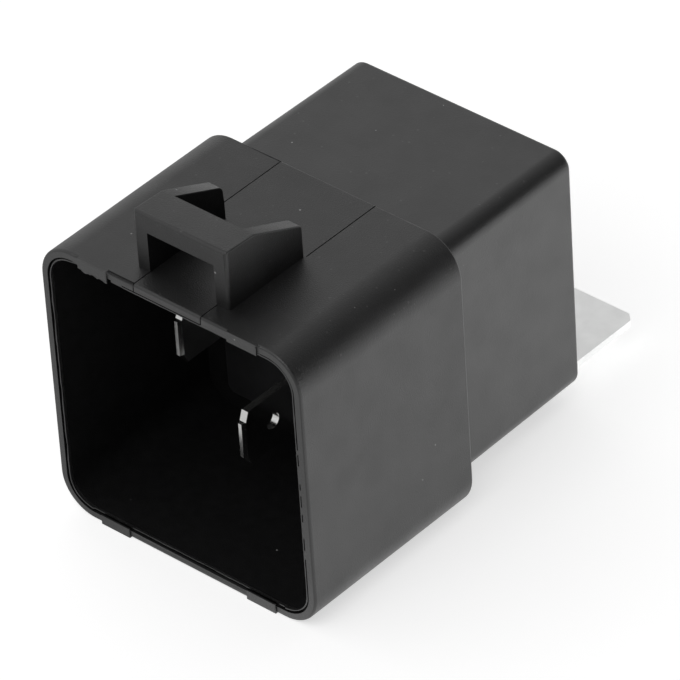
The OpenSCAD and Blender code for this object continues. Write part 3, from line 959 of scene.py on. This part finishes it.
def add_fringe(mesh, front_y):
    """Ragged edge that hangs from the upper left pad into the mouth."""
    look = bpy.context.scene.relay_moulding
    edge_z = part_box("housing")[0].z + look.skirt_height - look.wall
    back_y = front_y + look.pad_rise
    start = -look.pad_place - look.pad_length / 2
    slow_length = 0.9 * MM
    quick_length = 0.3 * MM
    root = 0.05 * MM
    root_back = 0.02 * MM
    tip_back = 0.08 * MM
    usual_drop = 0.5
    least_drop = 0.15
    front_drop = 0.8
    steps = round(look.pad_length / look.fringe_spacing)
    rings = []
    for step in range(steps + 1):
        x = start + look.pad_length * step / steps
        place = Vector((x, 0, 0))
        wander = noise.noise(place / slow_length) + 0.5 * noise.noise(place / quick_length)
        drop = look.fringe_drop * max(least_drop, min(1.0, usual_drop + wander))
        profile = (
            (front_y + root_back, edge_z + root),
            (back_y, edge_z + root),
            (back_y, edge_z - drop),
            (front_y + tip_back, edge_z - drop * front_drop),
        )
        rings.append([mesh.verts.new((x, y, z)) for y, z in profile])
    for ring, following in zip(rings, rings[1:]):
        join_rings(mesh, ring, following)
    mesh.faces.new(rings[0])
    mesh.faces.new(list(reversed(rings[-1])))


def build_flash(material):
    """Thin uneven flash that stands on the lead-in step all round the mouth."""
    look = bpy.context.scene.relay_moulding
    spacing = 0.16 * MM
    sunk = 0.03 * MM
    pad_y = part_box("housing")[0].y
    step_y = pad_y + look.pad_rise + look.step_depth
    back = step_y + sunk
    mesh = bmesh.new()
    rings = []
    for side, place, out in mouth_outline(spacing):
        height, width = flash_shape(side, place)
        far = place + out * (look.step_width * width)
        front = step_y - look.flash_height * min(height, 1.0)
        profile = ((place, back), (place, front), (far, front), (far, back))
        rings.append([mesh.verts.new((point.x, y, point.z)) for point, y in profile])
    for ring, following in zip(rings, rings[1:] + rings[:1]):
        join_rings(mesh, ring, following)
    add_fringe(mesh, pad_y)
    bmesh.ops.recalc_face_normals(mesh, faces=mesh.faces)
    piece = finish_mesh(mesh, "mould_flash", (material,))
    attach(piece, "case")


def build_spring(material):
    """The leaf spring between its rivets on the yoke and those on the armature, as a copy of its
    solid.
    """
    mesh = clean_copy("contact_spring")
    piece = finish_mesh(mesh, "bent_spring", (material,))
    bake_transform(piece)
    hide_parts("contact_spring")


# ---------- operators ----------


class RELAY_OT_stage(bpy.types.Operator):
    """Makes the floor, the soft light and the camera"""

    bl_idname = "relay.stage"
    bl_label = "Stage"

    def execute(self, context):
        look = context.scene.relay_stage
        self.add_floor(context, look)
        self.light_world(context, look)
        self.add_lamp(context, look)
        self.add_camera(context, look)
        context.scene.view_settings.view_transform = "Standard"
        return {"FINISHED"}

    def add_floor(self, context, look):
        """Plain floor under the relay; the camera sees it as a white ground with a shadow."""
        half = look.floor_width / 2
        data = bpy.data.meshes.new("floor")
        corners = [(-half, -half, 0), (half, -half, 0), (half, half, 0), (-half, half, 0)]
        data.from_pydata(corners, [], [(0, 1, 2, 3)])
        floor = bpy.data.objects.new("floor", data)
        context.scene.collection.objects.link(floor)
        floor.location.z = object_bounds()[0].z
        data.materials.append(self.floor_white(look))
        floor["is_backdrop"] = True

    def floor_white(self, look):
        """White that shadows darken only in part; reflections find less of it in front."""
        black = (0.0, 0.0, 0.0)
        made, tree, shader, vector = new_material("floor_white")
        colour = drifting_colour(tree, vector, look.floor, patch=500 * MM, drift=0.01)
        rays = add_node(tree, "ShaderNodeLightPath", -400, 600)
        camera_ray = rays.outputs["Is Camera Ray"]
        seen = maths(tree, -150, 600, "MAXIMUM", camera_ray, rays.outputs["Is Glossy Ray"])
        seen = maths(tree, 0, 600, "MAXIMUM", seen, rays.outputs["Is Transmission Ray"])
        place = add_node(tree, "ShaderNodeSeparateXYZ", -700, 900)
        tree.links.new(vector, place.inputs[0])
        along = maths(tree, -500, 900, "ADD", place.outputs["X"], place.outputs["Y"])
        floor_span = (-35 * MM, 0.0)
        gloss_span = (look.front_share, look.back_share)
        gloss = map_range(tree, -300, 900, along, floor_span, gloss_span)
        reflected = maths(tree, -300, 1100, "SUBTRACT", 1.0, camera_ray)
        gloss = maths(tree, -100, 900, "MULTIPLY", gloss, reflected)
        level = maths(tree, 50, 900, "ADD", gloss, camera_ray)
        level = maths(tree, 150, 900, "MULTIPLY", level, seen)
        white = mix_colour(tree, 200, 400, seen, colour, black)
        seen_base = maths(tree, 200, 550, "MULTIPLY", level, look.floor_white - look.floor_glow)
        total = add_node(tree, "ShaderNodeVectorMath", 350, 450, operation="ADD")
        tree.links.new(white, total.inputs[0])
        tree.links.new(seen_base, total.inputs[1])
        tree.links.new(total.outputs["Vector"], shader.inputs["Base Color"])
        glow = maths(tree, 200, 700, "MULTIPLY", level, look.floor_glow)
        tree.links.new(glow, shader.inputs["Emission Color"])
        shader.inputs["Emission Strength"].default_value = 1.0
        shader.inputs["Roughness"].default_value = 1.0
        shader.inputs["Specular IOR Level"].default_value = 0.0
        return made

    def light_world(self, context, look):
        """White surround, dimmer towards the right."""
        left_to_right = (-0.8, 0.7)
        brightness = (look.world_left, look.world_right)
        world = bpy.data.worlds.new("studio")
        context.scene.world = world
        world.use_nodes = True
        tree = world.node_tree
        back = tree.nodes["Background"]
        coordinates = add_node(tree, "ShaderNodeTexCoord", -700, 0)
        parts = add_node(tree, "ShaderNodeSeparateXYZ", -500, 0)
        tree.links.new(coordinates.outputs["Generated"], parts.inputs[0])
        level = map_range(tree, -300, 0, parts.outputs["X"], left_to_right, brightness)
        back.inputs["Color"].default_value = (1.0, 1.0, 1.0, 1.0)
        tree.links.new(level, back.inputs["Strength"])

    def add_lamp(self, context, look):
        """One large soft lamp over the relay, from the front."""
        data = bpy.data.lights.new("key", "AREA")
        data.shape = "RECTANGLE"
        data.size = look.key_width
        data.size_y = look.key_width
        data.energy = look.key_energy
        key = bpy.data.objects.new("key", data)
        context.scene.collection.objects.link(key)
        key.location = look.key_place
        key.rotation_euler = key.location.to_track_quat("Z", "Y").to_euler()

    def add_camera(self, context, look):
        """Long lens on the relay's mouth, loop and right side."""
        level = math.cos(look.elevation)
        rise = math.sin(look.elevation)
        back = Vector((math.sin(look.azimuth) * level, -math.cos(look.azimuth) * level, rise))
        right = (-back).cross(Vector((0, 0, 1))).normalized()
        up = right.cross(-back)
        right, up = (
            right * math.cos(look.roll) + up * math.sin(look.roll),
            up * math.cos(look.roll) - right * math.sin(look.roll),
        )
        data = bpy.data.cameras.new("camera")
        data.lens = look.lens
        data.sensor_width = 36.0
        data.clip_start = 0.01
        data.clip_end = 10.0
        camera = bpy.data.objects.new("camera", data)
        context.scene.collection.objects.link(camera)
        turn = Matrix((right, up, back)).transposed().to_4x4()
        place = Matrix.Translation(Vector(look.target) + back * look.distance)
        camera.matrix_world = place @ turn
        context.scene.camera = camera


class RELAY_OT_housing(bpy.types.Operator):
    """Builds the moulded housing and dresses the base behind it"""

    bl_idname = "relay.housing"
    bl_label = "Housing and base"

    def execute(self, context):
        skirt = housing_plastic("skirt_plastic", index=1.63, smooth=0.38, rough=0.45)
        case = housing_plastic(
            "case_plastic", index=1.7, smooth=0.36, rough=0.44, depth_share=0.5
        )
        # painted shade: a duller, less reflective copy for the inside of the mouth, the loop's
        # hidden faces and the base
        wall_shade_plastic = housing_plastic(
            "mouth_wall_painted_shade", index=1.4, smooth=0.6, rough=0.7, specular=0.18, dust_share=0.02
        )
        # painted sheen: a more reflective copy for the rim's front, its pads and the flash
        rim = housing_plastic("rim_painted_sheen", index=1.82, smooth=0.38, rough=0.45)
        build_housing((skirt, case, wall_shade_plastic, rim))
        build_flash(rim)
        # the base deep inside the mouth gets the same painted shade
        dress(["base_plate"], wall_shade_plastic)
        dress(["sealant"], sealing_compound())
        return {"FINISHED"}


class RELAY_OT_terminals(bpy.types.Operator):
    """Plates the four blades, the stop strip and the resistor's wires"""

    bl_idname = "relay.terminals"
    bl_label = "Blades"

    def execute(self, context):
        look = context.scene.relay_metals
        tin = strip_metal("tin_plating", look.plating, smooth=0.12, rough=0.2)
        dress(
            [
                "terminal_30",
                "terminal_87",
                "terminal_85",
                "terminal_86",
                "stop_plate",
                "resistor_lead_left",
                "resistor_lead_right",
            ],
            tin,
        )
        return {"FINISHED"}


class RELAY_OT_magnet(bpy.types.Operator):
    """Finishes the coil, its iron and its resistor"""

    bl_idname = "relay.magnet"
    bl_label = "Coil and iron"

    def execute(self, context):
        look = context.scene.relay_metals
        dress(["bobbin"], moulded_nylon())
        dress(["coil_winding", "coil_lead_left", "coil_lead_right"], wound_copper())
        iron = strip_metal("nickelled_iron", look.iron, smooth=0.3, rough=0.45)
        dress(
            [
                "core",
                "yoke",
                "armature",
                "spring_rivet_left",
                "spring_rivet_right",
                "armature_rivet_left",
                "armature_rivet_right",
            ],
            iron,
        )
        lacquer = strip_metal(
            "resistor_lacquer", look.lacquer, smooth=0.2, rough=0.35, metallic=0.0
        )
        dress(["resistor_body"], lacquer)
        return {"FINISHED"}


class RELAY_OT_contacts(bpy.types.Operator):
    """Finishes the contact spring and the two contacts"""

    bl_idname = "relay.contacts"
    bl_label = "Contacts"

    def execute(self, context):
        look = context.scene.relay_metals
        build_spring(strip_metal("spring_bronze", look.bronze, smooth=0.25, rough=0.4))
        silver = strip_metal("contact_silver", look.silver, smooth=0.25, rough=0.4)
        dress(["moving_contact", "fixed_contact"], silver)
        return {"FINISHED"}


class RELAY_OT_tab(bpy.types.Operator):
    """Finishes the mounting tab"""

    bl_idname = "relay.tab"
    bl_label = "Mounting tab"

    def execute(self, context):
        look = context.scene.relay_metals
        zinc = strip_metal("zinc_plated_steel", look.zinc, smooth=0.38, rough=0.5)
        dress(["mounting_tab"], zinc)
        return {"FINISHED"}


STEPS = (
    RELAY_OT_housing,
    RELAY_OT_terminals,
    RELAY_OT_magnet,
    RELAY_OT_contacts,
    RELAY_OT_tab,
    RELAY_OT_stage,
)


class RELAY_PT_build(bpy.types.Panel):
    """Lists the relay's building steps and their sizes"""

    bl_idname = "RELAY_PT_build"
    bl_label = "Automotive relay"
    bl_space_type = "VIEW_3D"
    bl_region_type = "UI"
    bl_category = "Relay"

    def draw(self, context):
        for step in STEPS:
            self.layout.operator(step.bl_idname, text=step.bl_label)
        for holder in ("relay_moulding", "relay_metals", "relay_stage"):
            settings = getattr(context.scene, holder)
            column = self.layout.column()
            for key in settings.bl_rna.properties.keys():
                if key not in ("rna_type", "name"):
                    column.prop(settings, key)


SETTINGS = {
    "relay_moulding": RelayMouldingSettings,
    "relay_metals": RelayMetalSettings,
    "relay_stage": RelayStageSettings,
}


def register():
    """Registers the settings, the operators and the panel."""
    for holder, group in SETTINGS.items():
        bpy.utils.register_class(group)
        setattr(bpy.types.Scene, holder, bpy.props.PointerProperty(type=group))
    for made in (*STEPS, RELAY_PT_build):
        bpy.utils.register_class(made)


def unregister():
    """Takes everything away again."""
    for made in (RELAY_PT_build, *reversed(STEPS)):
        bpy.utils.unregister_class(made)
    for holder, group in SETTINGS.items():
        delattr(bpy.types.Scene, holder)
        bpy.utils.unregister_class(group)


def main():
    """Builds every piece in order."""
    register()
    for step in STEPS:
        family, action = step.bl_idname.split(".")
        if getattr(getattr(bpy.ops, family), action)() != {"FINISHED"}:
            raise RuntimeError(f"{step.bl_label} didn't finish")


if __name__ == "__main__":
    main()
